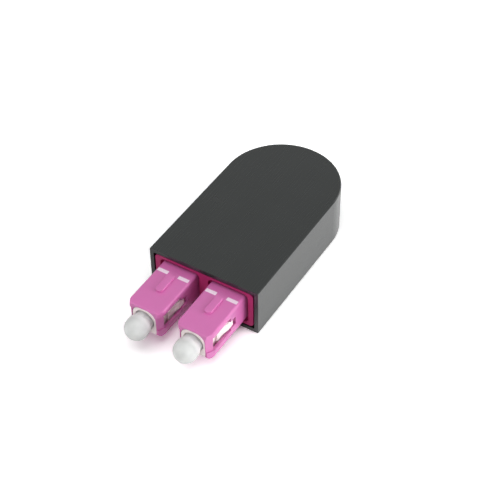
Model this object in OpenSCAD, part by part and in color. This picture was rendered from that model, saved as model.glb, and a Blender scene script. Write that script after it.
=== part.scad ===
// Duplex fibre loopback plug: a black housing with a half-round back end holds two push-pull
// connectors side by side, and one fibre inside leads from one connector round to the other.
// X runs across the two connectors, -Y is the way they plug in, and +Z is up.
// The origin is the centre of the housing's flat underside, between its front face and its crown.

/* [Housing] */
// Width of the housing, which is also the diameter of its half-round back end
housing_w = 28.4; // [28.2:0.1:32]
// Length of the housing from its open front face to the crown of its back end
housing_l = 48.5; // [46:0.25:60]
// Height of the housing
housing_h = 12.55; // [12.2:0.05:16]
// Thickness of the housing's side wall
wall_t = 1; // [0.8:0.05:1.1]
// Thickness of the housing's roof
roof_t = 0.9; // [0.7:0.05:1.1]
// Thickness of the housing's floor
floor_t = 1; // [0.8:0.05:1.1]
// Rounding of the housing's outer edges
housing_edge_r = 0.2; // [0.1:0.05:0.4]

/* [Duplex clip] */
// Distance between the axes of the two connectors
port_pitch = 12.7; // [12.6:0.05:12.8]
// Depth of the clip along the connectors
clip_l = 10.4; // [9.4:0.1:10.4]
// Set-back of the clip's front behind the housing's front face
clip_recess = 0.1; // [0.05:0.05:1.1]
// Gap between the clip and the housing's floor and roof
clip_gap = 0.3; // [0.2:0.05:0.4]
// Gap between the clip and the housing's side walls
clip_side_gap = 0.35; // [0.2:0.05:0.6]
// Clearance round each grip at the clip's mouth
window_gap = 0.7; // [0.2:0.05:0.8]
// Depth of the clip's wider mouth
mouth_depth = 1; // [0.5:0.1:2]
// Rounding of the clip's long corners
clip_corner_r = 1; // [0.8:0.1:1.2]

/* [Grip] */
// Width of a grip
grip_w = 9; // [8.95:0.05:9.1]
// Height of a grip without its key
grip_h = 7.4; // [7.35:0.05:7.5]
// How far a grip stands out of the housing
grip_reach = 14.2; // [14:0.1:15]
// Rounding of a grip's long edges
grip_edge_r = 0.6; // [0.4:0.05:0.8]
// How much the front of a grip narrows on each side
bevel_w = 0.95; // [0.7:0.05:1.1]
// Length over which the front of a grip narrows
bevel_l = 1.7; // [1.2:0.1:2]
// Width of the key ridge
key_w = 1.9; // [1.8:0.1:2.2]
// Height of the key ridge
key_h = 0.6; // [0.4:0.05:0.9]
// Length of the key ridge
key_l = 5.4; // [4:0.1:6]
// Set-back of the key's tip behind the front of the grip
key_setback = 5.7; // [5:0.1:7]
// Height of a side window's upper edge above the connector's axis
window_top = 2.4; // [2.2:0.05:2.45]
// Depth of a side window's lower edge below the connector's axis
window_bottom = 1.6; // [1.4:0.05:2.2]
// Height of a side window's narrow back end
slot_h = 2.3; // [2.2:0.05:2.6]

/* [Plug frame] */
// Width of a plug frame's nose
nose_w = 6; // [5.9:0.05:6.1]
// Height of a plug frame's nose
nose_h = 6.4; // [6.2:0.05:6.4]
// Rounding of the nose's upper corners
nose_top_r = 2.2; // [1.6:0.1:2.6]
// Diameter of the channel that the mating sleeve enters
channel_d = 5; // [4.9:0.02:5.1]
// Clearance between plug frame and grip
slide_gap = 0.15; // [0.08:0.01:0.18]
// Set-back of a plug frame's front behind the front of its grip
plug_setback = 0.1; // [0.05:0.05:0.6]
// Travel of a plug frame forwards in its grip
float_forward = 1.5; // [1:0.1:1.6]
// Travel of a plug frame backwards in its grip
float_back = 0.5; // [0.2:0.05:0.5]

/* [Ferrule] */
// Diameter of a ferrule
ferrule_d = 2.499; // [2.495:0.001:2.5]
// Length of a ferrule
ferrule_l = 10.5; // [10:0.1:11]
// How far a ferrule's tip stands out of its plug frame
ferrule_reach = 0.95; // [0.6:0.05:1.2]
// Travel of a ferrule backwards against its spring
ferrule_travel = 1.2; // [0.8:0.1:1.4]
// Wire diameter of a spring
spring_wire_d = 0.45; // [0.35:0.01:0.5]
// Working turns of a spring
spring_turns = 7; // [5:1:9]

/* [Dust cap] */
// Diameter of a dust cap's ball head
cap_head_d = 5.7; // [5:0.1:6]
// Diameter of a dust cap's neck
cap_neck_d = 4.7; // [4:0.05:4.75]
// Length of the neck inside the channel
cap_neck_in = 5.8; // [4:0.1:6]
// Gap between plug frame and the back of the head
cap_neck_out = 1.05; // [0.8:0.05:1.5]

/* [Fibre] */
// Diameter of the buffered fibre
fibre_d = 0.9; // [0.85:0.01:0.94]
// Gap between the fibre's bend and the housing's wall
loop_margin = 2.25; // [1.5:0.05:4]

/* [Hidden] */
$fn = 64;
cut = 0.1; // how far a cutting tool runs past the face that it opens
full_turn = 360;
half_turn = 180;
quarter_turn = 90;

// Housing and clip
face_y = -housing_l / 2;
axis_z = housing_h / 2;
round_y = housing_l / 2 - housing_w / 2;
inner_corner_r = 0.3;
clip_w = housing_w - 2 * (wall_t + clip_side_gap);
clip_bottom = floor_t + clip_gap;
clip_top = housing_h - roof_t - clip_gap;
clip_front = clip_recess;
clip_back = clip_recess + clip_l;
hold_gap = 0.04; // clearance of a grip in the deeper part of the clip's window
rib_w = 1.2;
rib_lead = 1.5; // set-back of the centring ribs behind the clip's front
seat_l = 2;
seat_cover = 0.3; // how much of the clip's back rests on a seat post
bite = 0.3; // how far a rib runs into the wall that carries it

// Grip, along Y, counted from the housing's front face
grip_front = -grip_reach;
rim_l = 0.8; // the rim behind the clip that stops the grip from coming out forwards
rim_h = 0.25;
grip_back = clip_back + rim_l;
window_setback = 1.6;
slot_setback = 8.3;
slot_end_setback = 10.3;
window_front = grip_front + window_setback;
slot_front = grip_front + slot_setback;
slot_back = grip_front + slot_end_setback;
front_top_r = 0.3;
front_bottom_r = 0.9;
band_bevel_w = 1.2; // the sides between the two plates narrow a little more
band_bevel_l = 2.2;

// Plug frame, along Y
plug_l = 18.75;
web_setback = 6.45;
web_t = 0.9;
pad_setback = 4.15;
ramp_setback = 4.9;
ramp_rise_l = 2.6;
ramp_end_gap = 0.2; // what is left behind a ramp when its plug frame is furthest back
collar_setback = 13.1;
step_gap = 0.3; // what is left before the collar when its plug frame is furthest forward
plug_front = grip_front + plug_setback;
plug_back = plug_front + plug_l;
web_front = plug_front + web_setback;
web_back = web_front + web_t;
pad_front = plug_front + pad_setback;
ramp_front = plug_front + ramp_setback;
ramp_top = ramp_front + ramp_rise_l;
ramp_back = slot_back - float_back - ramp_end_gap;
collar_front = plug_front + collar_setback;
step_y = collar_front - float_forward - step_gap;

// Plug frame, across and up from its axis
nose_bottom_r = 0.3;
skin_t = 0.7; // thickness of a grip's wall at a side window
pocket_h = 5; // height of the room behind a side window
pad_side_gap = 0.3;
waist_rise = 0.3; // how far the frame's waist stands out of its nose on each side
ramp_inset = 0.35; // depth of a ramp's top below the grip's side
guide_gap = 0.1; // clearance of a ramp in its slot
pad_gap = 0.15; // clearance of a pad in its pocket
pocket_x = grip_w / 2 - skin_t;
pad_x = pocket_x - pad_side_gap;
pad_z = pocket_h / 2 - pad_gap;
waist_x = nose_w / 2 + waist_rise;
ramp_x = grip_w / 2 - ramp_inset;
ramp_z = slot_h / 2 - guide_gap;
grip_back_roof = 0.4;
grip_back_wall = 0.8;
collar_w = grip_w - 2 * (grip_back_wall + slide_gap);
collar_h = grip_h - 2 * (grip_back_roof + slide_gap);
collar_r = 1.2;
chamber_d = channel_d - 0.3;
web_hole_d = ferrule_d + 0.7;
snap_groove_d = chamber_d + 0.6;
snap_groove_l = 0.9;
snap_setback = 1.15; // set-back of the snap groove from the back of the plug frame
lead_in = 0.15; // chamfer at the mouth of the channel

// Ferrule and flange
tip_chamfer = 0.3;
glass_bore_d = 0.128;
seat_gap = 0.05; // gap at the flange's forward stop
flange_collar_l = 1.2;
flange_collar_d = chamber_d - 0.4;
flange_tail_d = ferrule_d + 0.4;
flange_tail_l = 2.1; // length of the tail behind the ferrule
flange_key_w = 0.7;
flange_key_depth = 0.45;
ferrule_tip = plug_front - ferrule_reach;
ferrule_back = ferrule_tip + ferrule_l;
flange_front = web_back + seat_gap;
flange_back = ferrule_back + flange_tail_l;

// Guide tube, stop ring, spring and boot
tube_d = 1.5;
tube_bore_d = 1.14;
tube_overhang = 2.3; // how far the tube runs past the back of the plug frame
stop_plug_l = 1.5;
stop_plug_d = chamber_d - 0.04;
stop_snap_d = chamber_d + 0.4;
stop_snap_l = 0.7;
stop_flange_d = 5.8;
stop_flange_l = 0.8;
post_d = 3.6;
post_l = 4.5;
post_bore_d = 1.9;
knurl_count = 5;
knurl_r = 0.15;
spring_clearance = 0.35; // the spring's play on the flange's tail, across
spring_seat_gap = 0.04;
spring_steps = 12; // points in each turn
spring_sides = 6;
boot_l = 10.5;
boot_front_d = 5.2;
boot_back_d = 2.4;
boot_bore_d = 1.3;
boot_socket_d = post_d + 0.02;
boot_collar_l = 0.8; // length of the boot's straight part behind the post
boot_socket_gap = 0.2;
boot_seat_gap = 0.05;
boot_groove_count = 4;
boot_groove_w = 0.5;
boot_groove_depth = 0.3;
tube_back = plug_back + tube_overhang;
stop_front = plug_back - stop_plug_l;
post_front = plug_back + stop_flange_l;
post_back = post_front + post_l;
spring_mean_d = flange_tail_d + spring_wire_d + spring_clearance;
boot_front = post_front + boot_seat_gap;
boot_back = boot_front + boot_l;

// Dust cap
cap_bore_gap = 0.05;
cap_tip_gap = 0.4; // space left before the ferrule's tip
cap_shoulder_l = 1.4;
cap_shoulder_steps = 5;
cap_land_l = 0.4;
cap_bore_d = ferrule_d + 2 * cap_bore_gap;
cap_neck_back = plug_front + cap_neck_in;
cap_bore_end = ferrule_tip - cap_tip_gap;
cap_head_back = plug_front - cap_neck_out;
cap_land_back = cap_head_back - cap_shoulder_l;
cap_ball_y = cap_land_back - cap_land_l;

// Fibre: straight out of each boot, then outwards in a soft curve and round the back end
fibre_end_gap = 0.1; // what is left before the fibre's end when the flange is furthest back
fibre_lead = 0.6; // straight length past the boot when the plug frame is furthest back
fibre_sides = 8;
swing_steps = 9;
bend_steps = 24;
fibre_start = flange_back + ferrule_travel + float_back + fibre_end_gap;
fibre_straight_end = boot_back + float_back + fibre_lead;
loop_r = housing_w / 2 - wall_t - loop_margin - fibre_d / 2;
loop_centre = round_y - face_y;

// ---------- shared shapes ----------

module rounded_rect(w, h, r) {
    square([w - 2 * r, h], center = true);
    square([w, h - 2 * r], center = true);
    for (x = [-1, 1], y = [-1, 1])
        translate([x * (w / 2 - r), y * (h / 2 - r)]) circle(r);
}

// Runs a profile drawn in X and Z along Y, from y0 to y1
module along_y(y0, y1) {
    translate([0, y1, 0]) rotate([90, 0, 0]) linear_extrude(y1 - y0) children();
}

module rod(d, y0, y1) {
    along_y(y0, y1) circle(d = d);
}

// A solid of revolution about Y, drawn as [radius, distance along Y]
module turned() {
    rotate([-90, 0, 0]) rotate_extrude() children();
}

// Puts a connector's own frame at the left or the right port
module at_port(side) {
    translate([side * port_pitch / 2, face_y, axis_z]) children();
}

// ---------- housing ----------

module half_profile(w, h, r) {
    square([w / 2 - r, h]);
    translate([0, r]) square([w / 2, h - 2 * r]);
    translate([w / 2 - r, r]) circle(r);
    translate([w / 2 - r, h - r]) circle(r);
}

// A bar with a half-round back end whose flat front lies at y0
module round_ended_bar(w, h, r, y0) {
    translate([0, 0, h / 2]) along_y(y0, round_y) rounded_rect(w, h, r);
    translate([0, round_y, 0]) rotate_extrude(angle = half_turn) half_profile(w, h, r);
}

module centring_ribs() {
    rail_in = clip_w / 2;
    rail_out = housing_w / 2 - wall_t + bite;
    rib_y = face_y + clip_front + rib_lead;
    rib_l = clip_l - rib_lead;
    for (side = [-1, 1])
        translate([side * (rail_in + rail_out) / 2, rib_y + rib_l / 2, axis_z])
            cube([rail_out - rail_in, rib_l, 2 * rib_w], center = true);
    for (x = [-port_pitch / 2, 0, port_pitch / 2]) {
        translate([x - rib_w / 2, rib_y, floor_t - bite])
            cube([rib_w, rib_l, clip_bottom - floor_t + bite]);
        translate([x - rib_w / 2, rib_y, clip_top])
            cube([rib_w, rib_l, housing_h - roof_t + bite - clip_top]);
    }
}

// A post on each side wall that the clip seats against
module seat_posts() {
    post_in = clip_w / 2 - seat_cover;
    post_out = housing_w / 2 - wall_t + bite;
    bottom = floor_t - bite;
    top = housing_h - roof_t + bite;
    for (side = [-1, 1])
        translate([side * (post_in + post_out) / 2, face_y + clip_back + seat_l / 2, (bottom + top) / 2])
            cube([post_out - post_in, seat_l, top - bottom], center = true);
}

module housing() {
    color([0.16, 0.165, 0.165]) {
        difference() {
            round_ended_bar(housing_w, housing_h, housing_edge_r, face_y);
            translate([0, 0, floor_t])
                round_ended_cavity();
        }
        centring_ribs();
        seat_posts();
    }
}

module round_ended_cavity() {
    w = housing_w - 2 * wall_t;
    h = housing_h - floor_t - roof_t;
    round_ended_bar(w, h, inner_corner_r, face_y - cut);
}

// ---------- duplex clip ----------

module clip_windows(gap, y0, y1) {
    for (side = [-1, 1])
        translate([side * port_pitch / 2, 0, 0])
            along_y(y0, y1)
                rounded_rect(grip_w + 2 * gap, grip_h + 2 * gap, grip_edge_r + gap);
}

module duplex_clip() {
    color([0.55, 0.10, 0.33])
        translate([0, face_y, axis_z])
            difference() {
                translate([0, 0, (clip_bottom + clip_top) / 2 - axis_z]) along_y(clip_front, clip_back)
                    rounded_rect(clip_w, clip_top - clip_bottom, clip_corner_r);
                clip_windows(hold_gap, clip_front - cut, clip_back + cut);
                clip_windows(window_gap, clip_front - cut, clip_front + mouth_depth);
            }
}

// ---------- grip ----------

// Plan outline with round front corners
module rounded_front(w, y0, y1, r) {
    translate([-w / 2, y0 + r]) square([w, y1 - y0 - r]);
    translate([-w / 2 + r, y0]) square([w - 2 * r, y1 - y0]);
    for (x = [-1, 1])
        translate([x * (w / 2 - r), y0 + r]) circle(r);
}

// Plan outline with bevelled front corners
module bevelled_front(w, y0, y1, across, along) {
    polygon([[-w / 2, y1], [-w / 2, y0 + along], [-w / 2 + across, y0],
        [w / 2 - across, y0], [w / 2, y0 + along], [w / 2, y1]]);
}

// Side outline, drawn as [distance along Y, height], with its own top and bottom front rounding
module nose_side(h, y0, y1, r_top, r_bottom) {
    translate([y0, -h / 2 + r_bottom]) square([y1 - y0, h - r_top - r_bottom]);
    translate([y0 + r_top, 0]) square([y1 - y0 - r_top, h / 2]);
    translate([y0 + r_bottom, -h / 2]) square([y1 - y0 - r_bottom, h / 2]);
    translate([y0 + r_top, h / 2 - r_top]) circle(r_top);
    translate([y0 + r_bottom, -h / 2 + r_bottom]) circle(r_bottom);
}

// Meet of a front, a plan and a side outline. The child is the plan outline.
module nose_block(w, h, y0, y1, r_edge, r_top, r_bottom) {
    intersection() {
        along_y(y0, y1) rounded_rect(w, h, r_edge);
        linear_extrude(h, center = true) children();
        translate([-w / 2, 0, 0]) rotate([90, 0, 90]) linear_extrude(w)
            nose_side(h, y0, y1, r_top, r_bottom);
    }
}

// Front outline of the plug frame's nose, grown by a gap on all sides
module nose_outline(gap) {
    w = nose_w + 2 * gap;
    h = nose_h + 2 * gap;
    r_top = nose_top_r + gap;
    r_bottom = nose_bottom_r + gap;
    translate([-w / 2, -h / 2 + r_bottom]) square([w, h - r_top - r_bottom]);
    translate([-w / 2 + r_top, 0]) square([w - 2 * r_top, h / 2]);
    translate([-w / 2 + r_bottom, -h / 2]) square([w - 2 * r_bottom, h / 2]);
    for (side = [-1, 1]) {
        translate([side * (w / 2 - r_top), h / 2 - r_top]) circle(r_top);
        translate([side * (w / 2 - r_bottom), -h / 2 + r_bottom]) circle(r_bottom);
    }
}

module key_ridge() {
    tip = grip_front + key_setback;
    root = 0.4; // how deep the ridge is rooted in the grip
    tip_r = 0.48 * key_w;
    edge_r = key_h / 3;
    h = key_h + root;
    translate([0, 0, grip_h / 2 + key_h - h / 2])
        nose_block(key_w, h, tip, tip + key_l, edge_r, edge_r, root / 4)
            rounded_front(key_w, tip, tip + key_l, tip_r);
}

module grip_cavity() {
    along_y(grip_front - cut, step_y + cut) nose_outline(slide_gap);
    along_y(window_front, slot_back) square([2 * pocket_x, pocket_h], center = true);
    along_y(slot_back - cut, step_y + cut)
        square([2 * (waist_x + slide_gap), pocket_h], center = true);
    along_y(step_y, grip_back + cut)
        rounded_rect(collar_w + 2 * slide_gap, collar_h + 2 * slide_gap, collar_r);
}

module side_windows() {
    w = grip_w + 2 * cut;
    translate([-w / 2, window_front, -window_bottom])
        cube([w, slot_front - window_front, window_top + window_bottom]);
    translate([-w / 2, window_front, -slot_h / 2])
        cube([w, slot_back - window_front, slot_h]);
}

// What the sides lose beside the bevels of the two plates
module band_bevels() {
    w = grip_w + 2 * cut;
    h = window_top + window_bottom;
    difference() {
        translate([-w / 2, grip_front - cut, -window_bottom]) cube([w, band_bevel_l + cut, h]);
        linear_extrude(grip_h, center = true)
            bevelled_front(grip_w, grip_front, grip_front + band_bevel_l + cut, band_bevel_w,
                band_bevel_l);
    }
}

module grip() {
    difference() {
        union() {
            nose_block(grip_w, grip_h, grip_front, grip_back, grip_edge_r, front_top_r, front_bottom_r)
                bevelled_front(grip_w, grip_front, grip_back, bevel_w, bevel_l);
            key_ridge();
            along_y(clip_back, grip_back)
                rounded_rect(grip_w + 2 * rim_h, grip_h + 2 * rim_h, grip_edge_r);
        }
        grip_cavity();
        side_windows();
        band_bevels();
    }
}

module left_grip() {
    color([0.80, 0.36, 0.64]) at_port(-1) grip();
}

module right_grip() {
    color([0.80, 0.36, 0.64]) at_port(1) grip();
}

// ---------- plug frame ----------

module plug_ramp(side) {
    root_x = nose_w / 2 - bite;
    points = [[root_x, ramp_front], [pad_x, ramp_front], [ramp_x, ramp_top], [ramp_x, ramp_back],
        [root_x, ramp_back]];
    linear_extrude(2 * ramp_z, center = true)
        polygon([for (p = points) [side * p[0], p[1]]]);
}

module plug_frame() {
    difference() {
        union() {
            along_y(plug_front, collar_front + cut) nose_outline(0);
            along_y(pad_front, ramp_back) square([2 * pad_x, 2 * pad_z], center = true);
            along_y(ramp_back - cut, collar_front + cut)
                square([2 * waist_x, 2 * pad_z], center = true);
            along_y(collar_front, plug_back) rounded_rect(collar_w, collar_h, collar_r);
            for (side = [-1, 1])
                plug_ramp(side);
        }
        rod(channel_d, plug_front - cut, web_front);
        turned() polygon([[0, plug_front - cut], [channel_d / 2 + lead_in + cut, plug_front - cut],
            [channel_d / 2, plug_front + lead_in], [0, plug_front + lead_in]]);
        rod(web_hole_d, web_front - cut, web_back + cut);
        rod(chamber_d, web_back, plug_back + cut);
        translate([0, -snap_setback, 0]) rod(snap_groove_d, plug_back, plug_back + snap_groove_l);
    }
}

module left_plug_frame() {
    color([0.90, 0.86, 0.82]) at_port(-1) plug_frame();
}

module right_plug_frame() {
    color([0.90, 0.86, 0.82]) at_port(1) plug_frame();
}

// ---------- ferrule and its flange ----------

module ferrule() {
    r = ferrule_d / 2;
    difference() {
        turned() polygon([[0, ferrule_tip], [r - tip_chamfer, ferrule_tip],
            [r, ferrule_tip + tip_chamfer], [r, ferrule_back], [0, ferrule_back]]);
        rod(glass_bore_d, ferrule_tip - cut, ferrule_back + cut);
    }
}

module left_ferrule() {
    color([0.95, 0.94, 0.92]) at_port(-1) ferrule();
}

module right_ferrule() {
    color([0.95, 0.94, 0.92]) at_port(1) ferrule();
}

module flange() {
    collar_end = flange_front + flange_collar_l;
    difference() {
        union() {
            rod(flange_collar_d, flange_front, collar_end);
            rod(flange_tail_d, flange_front, flange_back);
        }
        rod(ferrule_d, flange_front - cut, ferrule_back);
        rod(tube_d, ferrule_back - cut, flange_back + cut);
        for (side = [-1, 1])
            translate([side * flange_collar_d / 2, flange_front + flange_collar_l / 2, 0])
                cube([2 * flange_key_depth, flange_collar_l + 2 * cut, flange_key_w], center = true);
    }
}

module left_flange() {
    color([0.72, 0.72, 0.74]) at_port(-1) flange();
}

module right_flange() {
    color([0.72, 0.72, 0.74]) at_port(1) flange();
}

module guide_tube() {
    difference() {
        rod(tube_d, ferrule_back, tube_back);
        rod(tube_bore_d, ferrule_back - cut, tube_back + cut);
    }
}

module left_guide_tube() {
    color([0.92, 0.92, 0.90]) at_port(-1) guide_tube();
}

module right_guide_tube() {
    color([0.92, 0.92, 0.90]) at_port(1) guide_tube();
}

// ---------- swept tubes ----------

function unit(v) = v / norm(v);

function tangent(path, i) =
    unit(path[min(i + 1, len(path) - 1)] - path[max(i - 1, 0)]);

// A tube of n sides along a path. The section's first direction is kept square to the vector up.
module swept_tube(path, d, n, up) {
    count = len(path);
    rings = [for (i = [0:count - 1])
        let (t = tangent(path, i), a = unit(cross(up, t)), b = cross(t, a))
        for (k = [0:n - 1])
            path[i] + d / 2 * (a * cos(full_turn * k / n) + b * sin(full_turn * k / n))];
    walls = [for (i = [0:count - 2], k = [0:n - 1])
        [i * n + k, (i + 1) * n + k, (i + 1) * n + (k + 1) % n, i * n + (k + 1) % n]];
    first_end = [for (k = [0:n - 1]) k];
    last_end = [for (k = [n - 1:-1:0]) (count - 1) * n + k];
    polyhedron(rings, concat(walls, [first_end, last_end]));
}

// ---------- spring ----------

module spring() {
    y0 = flange_front + flange_collar_l + spring_wire_d / 2 + spring_seat_gap;
    y1 = stop_front - spring_wire_d / 2 - spring_seat_gap;
    steps = spring_turns * spring_steps;
    r = spring_mean_d / 2;
    path = [for (i = [0:steps])
        let (turn = full_turn * i / spring_steps)
        [r * cos(turn), y0 + (y1 - y0) * i / steps, r * sin(turn)]];
    swept_tube(path, spring_wire_d, spring_sides, [0, 1, 0]);
}

module left_spring() {
    color([0.75, 0.75, 0.77]) at_port(-1) spring();
}

module right_spring() {
    color([0.75, 0.75, 0.77]) at_port(1) spring();
}

// ---------- stop ring and boot ----------

module stop_ring() {
    snap_front = plug_back - snap_setback + (snap_groove_l - stop_snap_l) / 2;
    knurl_pitch = post_l / (knurl_count + 1);
    difference() {
        union() {
            rod(stop_plug_d, stop_front, plug_back);
            rod(stop_snap_d, snap_front, snap_front + stop_snap_l);
            rod(stop_flange_d, plug_back, post_front);
            rod(post_d, plug_back, post_back);
        }
        rod(post_bore_d, stop_front - cut, post_back + cut);
        for (i = [1:knurl_count])
            turned() translate([post_d / 2, post_front + i * knurl_pitch]) circle(knurl_r);
    }
}

module left_stop_ring() {
    color([0.78, 0.76, 0.70]) at_port(-1) stop_ring();
}

module right_stop_ring() {
    color([0.78, 0.76, 0.70]) at_port(1) stop_ring();
}

module boot() {
    socket_end = post_back + boot_socket_gap;
    taper_start = post_back + boot_collar_l;
    taper_l = boot_back - taper_start;
    groove_pitch = taper_l / (boot_groove_count + 1);
    function outer_r(y) = boot_front_d / 2 - (boot_front_d - boot_back_d) / 2 * (y - taper_start) / taper_l;
    difference() {
        turned() polygon([[0, boot_front], [boot_front_d / 2, boot_front],
            [boot_front_d / 2, taper_start], [boot_back_d / 2, boot_back], [0, boot_back]]);
        rod(boot_socket_d, boot_front - cut, socket_end);
        rod(boot_bore_d, boot_front, boot_back + cut);
        for (i = [1:boot_groove_count])
            let (y = taper_start + i * groove_pitch - boot_groove_w, r = outer_r(y) - boot_groove_depth)
                turned() translate([r, y]) square([boot_front_d / 2, boot_groove_w]);
    }
}

module left_boot() {
    color([0.55, 0.10, 0.33]) at_port(-1) boot();
}

module right_boot() {
    color([0.55, 0.10, 0.33]) at_port(1) boot();
}

// ---------- dust cap ----------

module dust_cap() {
    r = cap_head_d / 2;
    neck_r = cap_neck_d / 2;
    shoulder = [for (i = [0:cap_shoulder_steps])
        let (turn = quarter_turn * i / cap_shoulder_steps)
        [neck_r + (r - neck_r) * cos(turn), cap_land_back + cap_shoulder_l * sin(turn)]];
    difference() {
        union() {
            rod(cap_neck_d, cap_land_back, cap_neck_back);
            turned() polygon(concat([[0, cap_ball_y], [r, cap_ball_y]], shoulder, [[0, cap_head_back]]));
            translate([0, cap_ball_y, 0]) sphere(r);
        }
        rod(cap_bore_d, cap_bore_end, cap_neck_back + cut);
    }
}

module left_dust_cap() {
    color([0.87, 0.87, 0.87]) at_port(-1) dust_cap();
}

module right_dust_cap() {
    color([0.87, 0.87, 0.87]) at_port(1) dust_cap();
}

// ---------- fibre ----------

// A soft step from 0 to 1
function ease(t) = (1 - cos(half_turn * t)) / 2;

function swing_point(i) =
    let (t = i / swing_steps)
    [port_pitch / 2 + (loop_r - port_pitch / 2) * ease(t),
        fibre_straight_end + (loop_centre - fibre_straight_end) * t, 0];

fibre_half = concat([[port_pitch / 2, fibre_start, 0]], [for (i = [0:swing_steps]) swing_point(i)]);
fibre_bend = [for (i = [1:bend_steps - 1])
    let (turn = half_turn * i / bend_steps)
    [loop_r * cos(turn), loop_centre + loop_r * sin(turn), 0]];
fibre_return = [for (i = [len(fibre_half) - 1:-1:0])
    [-fibre_half[i][0], fibre_half[i][1], 0]];

module fibre_loop() {
    color([0.75, 0.35, 0.60])
        translate([0, face_y, axis_z])
            swept_tube(concat(fibre_half, fibre_bend, fibre_return), fibre_d, fibre_sides, [0, 0, 1]);
}

housing();
duplex_clip();
left_grip();
right_grip();
left_plug_frame();
right_plug_frame();
left_ferrule();
right_ferrule();
left_flange();
right_flange();
left_guide_tube();
right_guide_tube();
left_spring();
right_spring();
left_stop_ring();
right_stop_ring();
left_boot();
right_boot();
left_dust_cap();
right_dust_cap();
fibre_loop();
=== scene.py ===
"""Looks of the fibre loopback plug: a finish for every solid, finer springs, and the printed bars.

Metres, in the row's frame: X across the two connectors, -Y the way they plug in, +Z up.
"""
import math

import bmesh
import bpy
from mathutils import Matrix, Vector


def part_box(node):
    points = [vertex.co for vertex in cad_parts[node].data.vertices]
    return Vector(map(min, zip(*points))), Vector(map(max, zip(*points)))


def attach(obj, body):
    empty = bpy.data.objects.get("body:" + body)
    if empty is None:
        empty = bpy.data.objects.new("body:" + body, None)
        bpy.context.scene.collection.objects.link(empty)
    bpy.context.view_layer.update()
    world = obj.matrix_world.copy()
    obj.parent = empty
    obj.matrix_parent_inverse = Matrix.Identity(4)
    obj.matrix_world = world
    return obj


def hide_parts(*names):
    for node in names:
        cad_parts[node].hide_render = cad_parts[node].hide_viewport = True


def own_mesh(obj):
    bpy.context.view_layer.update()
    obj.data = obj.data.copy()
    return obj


MM = 0.001
SIDES = ("left", "right")

# Camera: where it stands, the way it looks (degrees) and its lens (millimetres)
CAMERA_PLACE = (0.11322, -0.18713, 0.21198)
CAMERA_YAW = 31.78
CAMERA_ELEVATION = 44.288
CAMERA_ROLL = -0.702
CAMERA_LENS = 91.95
SENSOR_WIDTH = 36.0
CAMERA_NEAR = 0.01
CAMERA_FAR = 10.0

# World: how strongly it lights, and how bright reflections show it at the horizon and overhead
AMBIENT = 0.20
HORIZON_SHINE = 1.0
ZENITH_SHINE = 0.46

# Floor: its grey where it bounces light, and the lighter one that the camera sees
FLOOR_HALF_SIDE = 1.5
FLOOR_ROUGHNESS = 0.9
FLOOR_COLOUR = 0.80
SEEN_FLOOR_COLOUR = 1.45
# Its glow in reflections, which starts and is full at these places along X
FLOOR_GLOW = 0.60
FLOOR_GLOW_START_X = 0.010
FLOOR_GLOW_FULL_X = 0.015
# How far off the camera sees it start to fade to white, and where it is as white as the world
FLOOR_FADE_START = 0.10
FLOOR_FADE_END = 0.30

# What the lamps point at
LAMP_TARGET = (0.0, -0.01, 0.005)
BACK_LAMP_TARGET = (0.0, 0.02, 0.005)

# Colours, linear. A pair is the darkest and the lightest tone of a mottled surface.
HOUSING_BLACKS = ((0.0100, 0.0130, 0.0120), (0.0120, 0.0150, 0.0142))
CAP_HEAD_WHITES = ((0.545, 0.555, 0.55), (0.605, 0.615, 0.61))
# The cap neck's white is painted light: lighter than the head, to lift the shade on the neck
CAP_NECK_PAINTED_LIGHT = (0.80, 0.80, 0.79)
ZIRCONIA_WHITES = ((0.82, 0.81, 0.78), (0.87, 0.86, 0.84))
PRINT_WHITES = ((0.80, 0.60, 0.74), (0.86, 0.72, 0.82))
GRIP_PINK = (0.60, 0.148, 0.405)
CLIP_MAGENTA = (0.36, 0.020, 0.115)
BOOT_MAGENTA = (0.36, 0.035, 0.15)
JACKET_MAGENTA = (0.52, 0.16, 0.36)
PLUG_CREAM = (0.93, 0.82, 0.81)
TUBE_WHITE = (0.80, 0.80, 0.77)
FLANGE_STEEL = (0.62, 0.62, 0.64)
SPRING_STEEL = (0.66, 0.66, 0.68)
STOP_RING_METAL = (0.72, 0.69, 0.62)

# Dust cap, measured from its tip: where painted light starts to make its colour lighter,
# and where its neck starts, painted fully lighter to lift the shade the grip and the cap's head cast
# on it
CAP_PAINTED_LIGHT_START = 3.045 * MM
CAP_PAINTED_LIGHT_FULL = 4.745 * MM

# Printed bars on a grip, measured from its centre line and from the housing's front face
GRIP_HEIGHT = 7.4 * MM
BAR_INNER_X = 1.35 * MM
BAR_OUTER_X = 4.08 * MM
BAR_FRONT_Y = -2.87 * MM
BAR_BACK_Y = -1.9 * MM
BAR_CORNER_R = 0.06 * MM
BAR_HEIGHT = 0.012 * MM
BAR_SINK = 0.01 * MM

# Springs, with the steps in one turn of the coil and the sides of its wire
SPRING_TURNS = 7
SPRING_WIRE_D = 0.45 * MM
SPRING_STEPS = 40
SPRING_SIDES = 12


# ---------- nodes ----------


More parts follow.
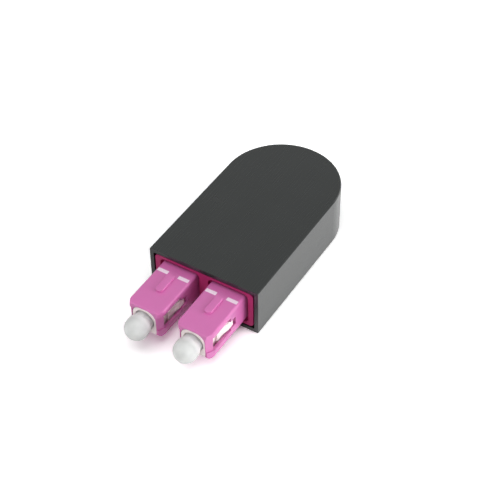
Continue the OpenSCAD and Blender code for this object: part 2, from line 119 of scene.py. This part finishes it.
class Nodes:
    """A node tree, with short calls for the nodes that the finishes, the floor and the world share."""

    def __init__(self, owner, output="ShaderNodeOutputMaterial", coordinates="Object"):
        owner.use_nodes = True
        self.tree = owner.node_tree
        self.tree.nodes.clear()
        self.output = self.add(output)
        self.place = self.add("ShaderNodeTexCoord").outputs[coordinates]

    def add(self, kind):
        return self.tree.nodes.new(kind)

    def link(self, source, target):
        self.tree.links.new(source, target)

    def feed(self, socket, value):
        """Gives a socket another node's output, a colour or a number."""
        if isinstance(value, bpy.types.NodeSocket):
            self.link(value, socket)
        elif isinstance(value, tuple):
            socket.default_value = (*value, 1.0)
        else:
            socket.default_value = value

    def shader(self, **values):
        """The sockets of a Principled shader, with constant values on some of them."""
        node = self.add("ShaderNodeBsdfPrincipled")
        for key, value in values.items():
            node.inputs[key.replace("_", " ")].default_value = value
        self.link(node.outputs["BSDF"], self.output.inputs["Surface"])
        return node.inputs

    def along(self, axis):
        """The coordinate along one axis."""
        node = self.add("ShaderNodeSeparateXYZ")
        self.link(self.place, node.inputs["Vector"])
        return node.outputs[axis]

    def distance(self):
        """The distance from the origin."""
        node = self.add("ShaderNodeVectorMath")
        node.operation = "LENGTH"
        self.link(self.place, node.inputs[0])
        return node.outputs["Value"]

    def stretched(self, *features):
        """Coordinates in which what is this long on each axis, in metres, has a length of 1."""
        node = self.add("ShaderNodeMapping")
        node.inputs["Scale"].default_value = [1 / feature for feature in features]
        self.link(self.place, node.inputs["Vector"])
        return node.outputs["Vector"]

    def noise(self, feature=1.0, detail=2.0, roughness=0.5, place=None):
        """Noise whose features are about this long: in metres, or 1 in stretched coordinates."""
        node = self.add("ShaderNodeTexNoise")
        node.inputs["Scale"].default_value = 1 / feature
        node.inputs["Detail"].default_value = detail
        node.inputs["Roughness"].default_value = roughness
        self.link(place or self.place, node.inputs["Vector"])
        return node.outputs["Fac"]

    def math(self, operation, a, b):
        node = self.add("ShaderNodeMath")
        node.operation = operation
        for socket, value in zip(node.inputs, (a, b)):
            self.feed(socket, value)
        return node.outputs["Value"]

    def remap(self, value, low, high, start=0.3, end=0.7):
        """The value's range from start to end turned into low to high, and held there beyond it."""
        node = self.add("ShaderNodeMapRange")
        ends = {"From Min": start, "From Max": end, "To Min": low, "To Max": high}
        for name, number in ends.items():
            node.inputs[name].default_value = number
        self.link(value, node.inputs["Value"])
        return node.outputs["Result"]

    def between(self, factor, a, b, kind="VALUE"):
        """A number between a and b, or a colour where the kind is RGBA."""
        node = self.add("ShaderNodeMix")
        node.data_type = "RGBA" if kind == "RGBA" else "FLOAT"
        self.link(factor, node.inputs["Factor"])
        for name, value in (("A", a), ("B", b)):
            self.feed(next(s for s in node.inputs if s.name == name and s.type == kind), value)
        return next(s for s in node.outputs if s.type == kind)

    def mottled(self, noise, tones):
        """A colour that follows a noise between two tones."""
        return self.between(self.remap(noise, 0.0, 1.0), *tones, kind="RGBA")

    def where(self, ray, yes, no):
        """The value yes for one kind of ray, and no for the others."""
        return self.between(self.add("ShaderNodeLightPath").outputs[f"Is {ray} Ray"], no, yes)

    def bump(self, height, depth):
        """A normal from a height of 0 to 1 that stands for this depth, in metres."""
        node = self.add("ShaderNodeBump")
        node.inputs["Strength"].default_value = 1.0
        node.inputs["Distance"].default_value = depth
        self.link(height, node.inputs["Height"])
        return node.outputs["Normal"]


# ---------- materials ----------


def shade(colour, share):
    """This share of a colour's light."""
    return tuple(min(1.0, c * share) for c in colour)


def moulded(name, colour, roughness, grain=0.11 * MM, depth=0.004 * MM, spread=0.05, **values):
    """Moulded plastic: fine spark-eroded grain, soft flow mottling and a few dull patches."""
    material = bpy.data.materials.new(name)
    n = Nodes(material)
    shader = n.shader(**values)
    flow = n.noise(6 * MM, detail=3.0)
    speck = n.noise(0.35 * MM, detail=4.0)
    tone = n.math("ADD", n.math("MULTIPLY", flow, 0.7), n.math("MULTIPLY", speck, 0.3))
    tones = (shade(colour, 1 - spread), shade(colour, 1 + spread))
    n.link(n.mottled(tone, tones), shader["Base Color"])
    patch = n.noise(2.2 * MM, detail=3.0)
    n.link(n.remap(patch, roughness - 0.035, roughness + 0.045), shader["Roughness"])
    height = n.math("ADD", n.noise(grain, detail=3.0, roughness=0.6), n.math("MULTIPLY", flow, 0.4))
    n.link(n.bump(height, depth), shader["Normal"])
    return material


def housing_finish():
    """Black ABS, semi-gloss: fine grain, faint hairline scratches from handling."""
    material = bpy.data.materials.new("housing_black")
    n = Nodes(material)
    shader = n.shader(IOR=1.6)
    n.link(n.mottled(n.noise(9 * MM, detail=3.0), HOUSING_BLACKS), shader["Base Color"])
    hairs = n.noise(place=n.stretched(0.05 * MM, 7 * MM, 0.4 * MM))
    scratch = n.remap(hairs, 0.0, 1.0, start=0.66, end=0.72)
    dull = n.remap(n.noise(5 * MM, detail=1.0), 0.258, 0.277, start=0.15, end=0.85)
    n.link(n.math("ADD", dull, n.math("MULTIPLY", scratch, 0.05)), shader["Roughness"])
    grain = n.noise(0.16 * MM, detail=3.0, roughness=0.6)
    height = n.math("SUBTRACT", grain, n.math("MULTIPLY", scratch, 0.25))
    n.link(n.bump(height, 0.0013 * MM), shader["Normal"])
    return material


def milky_cap_finish():
    """Milky soft plastic that lets light through, with painted light on its neck: its colour grows
    lighter there to lift the shade cast on it.
    """
    material = bpy.data.materials.new("cap_milky")
    n = Nodes(material)
    shader = n.shader(IOR=1.5, Subsurface_Weight=1.0, Subsurface_Radius=(1.0, 1.0, 0.95),
        Subsurface_Scale=6 * MM)
    cloud = n.noise(1.6 * MM, detail=3.0)
    tip_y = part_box("left_dust_cap")[0].y
    # Painted light: the colour turns lighter towards the neck, lifting the shade cast there
    painted_light_share = n.remap(n.along("Y"), 0.0, 1.0, start=tip_y + CAP_PAINTED_LIGHT_START, end=tip_y + CAP_PAINTED_LIGHT_FULL)
    colour = n.between(painted_light_share, n.mottled(cloud, CAP_HEAD_WHITES), CAP_NECK_PAINTED_LIGHT, kind="RGBA")
    n.link(colour, shader["Base Color"])
    n.link(n.remap(n.noise(0.8 * MM, detail=3.0), 0.40, 0.52), shader["Roughness"])
    height = n.math("ADD", n.noise(0.09 * MM), n.math("MULTIPLY", cloud, 1.5))
    n.link(n.bump(height, 0.006 * MM), shader["Normal"])
    return material


def turned_metal(name, colour, roughness, pitch=0.06 * MM):
    """Metal turned about Y: fine rings that repeat along Y."""
    material = bpy.data.materials.new(name)
    n = Nodes(material)
    shader = n.shader(Metallic=1.0)
    rings = n.noise(place=n.stretched(3 * MM, pitch, 3 * MM))
    tarnish = n.noise(1.1 * MM, detail=4.0)
    n.link(n.mottled(tarnish, (shade(colour, 0.9), shade(colour, 1.06))), shader["Base Color"])
    dull = n.remap(tarnish, roughness, roughness + 0.08)
    n.link(n.math("ADD", n.remap(rings, -0.05, 0.05), dull), shader["Roughness"])
    n.link(n.bump(rings, 0.003 * MM), shader["Normal"])
    return material


def ceramic_finish():
    """Ground and polished zirconia."""
    material = bpy.data.materials.new("zirconia")
    n = Nodes(material)
    shader = n.shader(IOR=2.1, Subsurface_Weight=0.2, Subsurface_Radius=(1.0, 1.0, 1.0),
        Subsurface_Scale=0.4 * MM)
    n.link(n.mottled(n.noise(0.9 * MM, detail=3.0), ZIRCONIA_WHITES), shader["Base Color"])
    rings = n.noise(place=n.stretched(2 * MM, 0.04 * MM, 2 * MM))
    n.link(n.remap(rings, 0.10, 0.18), shader["Roughness"])
    n.link(n.bump(rings, 0.0006 * MM), shader["Normal"])
    return material


def print_finish():
    """White pad print: a thin coat whose cover varies, over the grip's grain."""
    material = bpy.data.materials.new("print_white")
    n = Nodes(material)
    shader = n.shader(IOR=1.45)
    cover = n.noise(0.22 * MM, detail=4.0, roughness=0.6)
    n.link(n.mottled(cover, PRINT_WHITES), shader["Base Color"])
    n.link(n.remap(cover, 0.42, 0.56), shader["Roughness"])
    n.link(n.bump(n.noise(0.11 * MM, detail=3.0), 0.004 * MM), shader["Normal"])
    return material


def finishes():
    """The material of each kind of node."""
    return {
        "housing": housing_finish(),
        "duplex_clip": moulded("clip_magenta", CLIP_MAGENTA, roughness=0.48, IOR=1.35),
        "grip": moulded("grip_magenta", GRIP_PINK, roughness=0.33, depth=0.003 * MM, spread=0.03,
            IOR=1.7, Subsurface_Weight=0.15, Subsurface_Radius=(1.0, 0.35, 0.6),
            Subsurface_Scale=0.5 * MM),
        "plug_frame": moulded("plug_cream", PLUG_CREAM, roughness=0.38, spread=0.03, IOR=1.5,
            Subsurface_Weight=0.2, Subsurface_Radius=(1.0, 0.9, 0.85), Subsurface_Scale=0.6 * MM),
        "ferrule": ceramic_finish(),
        "flange": turned_metal("flange_steel", FLANGE_STEEL, roughness=0.24),
        "guide_tube": moulded("tube_white", TUBE_WHITE, roughness=0.45, IOR=1.4,
            Subsurface_Weight=0.3, Subsurface_Radius=(1.0, 1.0, 1.0), Subsurface_Scale=0.5 * MM),
        "spring": turned_metal("spring_steel", SPRING_STEEL, roughness=0.22, pitch=0.03 * MM),
        "stop_ring": turned_metal("stop_ring_metal", STOP_RING_METAL, roughness=0.26),
        "boot": moulded("boot_rubber", BOOT_MAGENTA, roughness=0.62, depth=0.006 * MM, IOR=1.5),
        "dust_cap": milky_cap_finish(),
        "fibre_loop": moulded("fibre_jacket", JACKET_MAGENTA, roughness=0.36, grain=0.07 * MM,
            depth=0.002 * MM, IOR=1.5),
    }


def kind_of(node):
    """A node's name without its side."""
    side, _, rest = node.partition("_")
    return rest if side in SIDES else node


def dress(frame, materials):
    """Gives every CAD node the material of its kind."""
    for name, node in frame["nodes"].items():
        node.data.materials.clear()
        node.data.materials.append(materials[kind_of(name)])


# ---------- pieces ----------


def piece(name, mesh, material, body, smooth=True):
    """A piece of the object from a bmesh, on a CAD body."""
    data = bpy.data.meshes.new(name)
    mesh.to_mesh(data)
    mesh.free()
    data.materials.append(material)
    if smooth:
        data.shade_smooth()
    obj = bpy.data.objects.new(name, data)
    bpy.context.scene.collection.objects.link(obj)
    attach(obj, body)
    return obj


def rounded_outline(x0, x1, y0, y1, r, steps=4):
    """Points round a rectangle with round corners, counterclockwise."""
    centres = ((x1 - r, y0 + r), (x1 - r, y1 - r), (x0 + r, y1 - r), (x0 + r, y0 + r))
    points = []
    for corner, (x, y) in enumerate(centres):
        for i in range(steps + 1):
            turn = math.radians(90 * (corner - 1 + i / steps))
            points.append((x + r * math.cos(turn), y + r * math.sin(turn)))
    return points


def add_slab(mesh, outline, z0, z1):
    """A closed slab over an outline."""
    low = [mesh.verts.new((x, y, z0)) for x, y in outline]
    high = [mesh.verts.new((x, y, z1)) for x, y in outline]
    mesh.faces.new(list(reversed(low)))
    mesh.faces.new(high)
    for i, corner in enumerate(low):
        j = (i + 1) % len(low)
        mesh.faces.new((corner, low[j], high[j], high[i]))


def add_print_bars(side, material):
    """The two white bars printed on top of a grip, one on each side of its key."""
    face_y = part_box("housing")[0].y
    low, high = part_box(side + "_grip")
    centre_x = (low.x + high.x) / 2
    cap_low, cap_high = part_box(side + "_dust_cap")
    axis_z = (cap_low.z + cap_high.z) / 2
    top = axis_z + GRIP_HEIGHT / 2
    mesh = bmesh.new()
    for direction in (-1, 1):
        ends = sorted(centre_x + direction * x for x in (BAR_INNER_X, BAR_OUTER_X))
        outline = rounded_outline(*ends, face_y + BAR_FRONT_Y, face_y + BAR_BACK_Y, BAR_CORNER_R)
        add_slab(mesh, outline, top - BAR_SINK, top + BAR_HEIGHT)
    piece(side + "_print_bars", mesh, material, "module", smooth=False)


def coil(centre, radius, start, end):
    """Points along a spring's coil about Y, from start to end."""
    count = SPRING_TURNS * SPRING_STEPS
    points = []
    for i in range(count + 1):
        turn = 2 * math.pi * i / SPRING_STEPS
        x = centre.x + radius * math.cos(turn)
        z = centre.z + radius * math.sin(turn)
        points.append(Vector((x, start + (end - start) * i / count, z)))
    return points


def add_tube(mesh, path, radius, sides, up):
    """A closed round tube along a path, its section's first direction kept square to up."""
    rings = []
    for i, point in enumerate(path):
        along = (path[min(i + 1, len(path) - 1)] - path[max(i - 1, 0)]).normalized()
        a = up.cross(along).normalized()
        b = along.cross(a)
        turns = (2 * math.pi * k / sides for k in range(sides))
        section = [point + radius * (a * math.cos(t) + b * math.sin(t)) for t in turns]
        rings.append([mesh.verts.new(place) for place in section])
    for ring, after in zip(rings, rings[1:]):
        for k in range(sides):
            j = (k + 1) % sides
            mesh.faces.new((ring[k], ring[j], after[j], after[k]))
    mesh.faces.new(list(reversed(rings[0])))
    mesh.faces.new(rings[-1])


def add_spring(side, material):
    """The ferrule's coil spring, a finer coil in place of the CAD one at that spring's length; the
    real spring shortens as the ferrule is pushed in.
    """
    name = side + "_spring"
    low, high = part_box(name)
    centre = (low + high) / 2
    wire_r = SPRING_WIRE_D / 2
    coil_r = (high.x - low.x) / 2 - wire_r
    path = coil(centre, coil_r, low.y + wire_r, high.y - wire_r)
    mesh = bmesh.new()
    add_tube(mesh, path, wire_r, SPRING_SIDES, up=Vector((0, 1, 0)))
    obj = piece(side + "_coil_spring", mesh, material, side + "_plug")
    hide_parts(name)
    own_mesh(obj)


# ---------- stage ----------


def add_camera():
    """The photograph's view."""
    yaw, elevation, roll = (math.radians(a) for a in (CAMERA_YAW, CAMERA_ELEVATION, CAMERA_ROLL))
    level = math.cos(elevation)
    back = Vector((math.sin(yaw) * level, -math.cos(yaw) * level, math.sin(elevation)))
    right = (-back).cross(Vector((0, 0, 1))).normalized()
    up = right.cross(-back)
    turned_right = math.cos(roll) * right + math.sin(roll) * up
    turned_up = -math.sin(roll) * right + math.cos(roll) * up
    data = bpy.data.cameras.new("camera")
    data.lens = CAMERA_LENS
    data.sensor_width = SENSOR_WIDTH
    data.clip_start = CAMERA_NEAR
    data.clip_end = CAMERA_FAR
    camera = bpy.data.objects.new("camera", data)
    axes = Matrix((turned_right, turned_up, back)).transposed()
    camera.matrix_world = Matrix.Translation(Vector(CAMERA_PLACE)) @ axes.to_4x4()
    bpy.context.scene.collection.objects.link(camera)
    bpy.context.scene.camera = camera


def add_world():
    """White to the camera, a white horizon in reflections, and a plain soft light otherwise."""
    world = bpy.data.worlds.new("world")
    n = Nodes(world, "ShaderNodeOutputWorld", coordinates="Generated")
    shine = n.remap(n.along("Z"), HORIZON_SHINE, ZENITH_SHINE, start=0.0, end=1.0)
    strength = n.where("Glossy", shine, AMBIENT)
    for ray in ("Transmission", "Camera"):
        strength = n.where(ray, 1.0, strength)
    background = n.add("ShaderNodeBackground")
    background.inputs["Color"].default_value = (1, 1, 1, 1)
    n.link(strength, background.inputs["Strength"])
    n.link(background.outputs["Background"], n.output.inputs["Surface"])
    bpy.context.scene.world = world


def floor_finish():
    """White paper. It glows only where it is mirrored, and far off, where the camera sees it."""
    material = bpy.data.materials.new("floor_paper")
    n = Nodes(material)
    shader = n.shader(Roughness=FLOOR_ROUGHNESS, Specular_IOR_Level=0.0,
        Emission_Color=(1, 1, 1, 1))
    n.link(n.where("Camera", SEEN_FLOOR_COLOUR, FLOOR_COLOUR), shader["Base Color"])
    rise = n.remap(n.along("X"), 0.0, FLOOR_GLOW, start=FLOOR_GLOW_START_X, end=FLOOR_GLOW_FULL_X)
    fade = n.remap(n.distance(), 0.0, 1.0, start=FLOOR_FADE_START, end=FLOOR_FADE_END)
    glow = n.where("Glossy", rise, 0.0)
    glow = n.where("Transmission", FLOOR_GLOW, glow)
    n.link(n.where("Camera", fade, glow), shader["Emission Strength"])
    return material


def add_floor():
    """A white floor that still shows the object's shadow."""
    mesh = bmesh.new()
    bmesh.ops.create_grid(mesh, x_segments=1, y_segments=1, size=FLOOR_HALF_SIDE)
    data = bpy.data.meshes.new("floor")
    mesh.to_mesh(data)
    mesh.free()
    data.materials.append(floor_finish())
    floor = bpy.data.objects.new("floor", data)
    bpy.context.scene.collection.objects.link(floor)


def add_lamp(name, place, size, power, target=LAMP_TARGET, mirrored=True):
    """A square soft lamp. A lamp that isn't mirrored leaves no glare on glossy faces."""
    data = bpy.data.lights.new(name, "AREA")
    data.shape = "SQUARE"
    data.size = size
    data.energy = power
    lamp = bpy.data.objects.new(name, data)
    lamp.location = place
    lamp.rotation_euler = (Vector(target) - Vector(place)).to_track_quat("-Z", "Y").to_euler()
    lamp.visible_glossy = mirrored
    bpy.context.scene.collection.objects.link(lamp)


def add_lights():
    """Soft lamps on every side, the strongest of them low on the right."""
    add_lamp("key", (0.36, 0.16, 0.31), size=0.30, power=0.70)
    add_lamp("top", (0.0, -0.10, 0.48), size=0.36, power=0.94)
    add_lamp("side", (0.49, 0.08, 0.11), size=0.20, power=1.75, mirrored=False)
    add_lamp("front", (-0.06, -0.50, 0.11), size=0.25, power=0.82, mirrored=False)
    add_lamp("back", (0.10, 0.50, 0.12), size=0.25, power=0.45, target=BACK_LAMP_TARGET)
    add_lamp("fill", (-0.30, -0.12, 0.38), size=0.35, power=0.40)


# ---------- scene ----------

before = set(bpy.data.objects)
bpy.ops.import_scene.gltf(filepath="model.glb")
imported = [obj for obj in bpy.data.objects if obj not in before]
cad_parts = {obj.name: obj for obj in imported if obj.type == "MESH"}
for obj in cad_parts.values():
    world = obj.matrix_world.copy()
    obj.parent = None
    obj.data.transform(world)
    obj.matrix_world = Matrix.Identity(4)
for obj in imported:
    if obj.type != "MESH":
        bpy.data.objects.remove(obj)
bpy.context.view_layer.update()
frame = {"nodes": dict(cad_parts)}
bpy.context.scene.view_settings.view_transform = "Standard"
add_camera()
add_world()
add_floor()
add_lights()
materials = finishes()
dress(frame, materials)
bar_print = print_finish()
for side in SIDES:
    add_print_bars(side, bar_print)
    add_spring(side, materials["spring"])
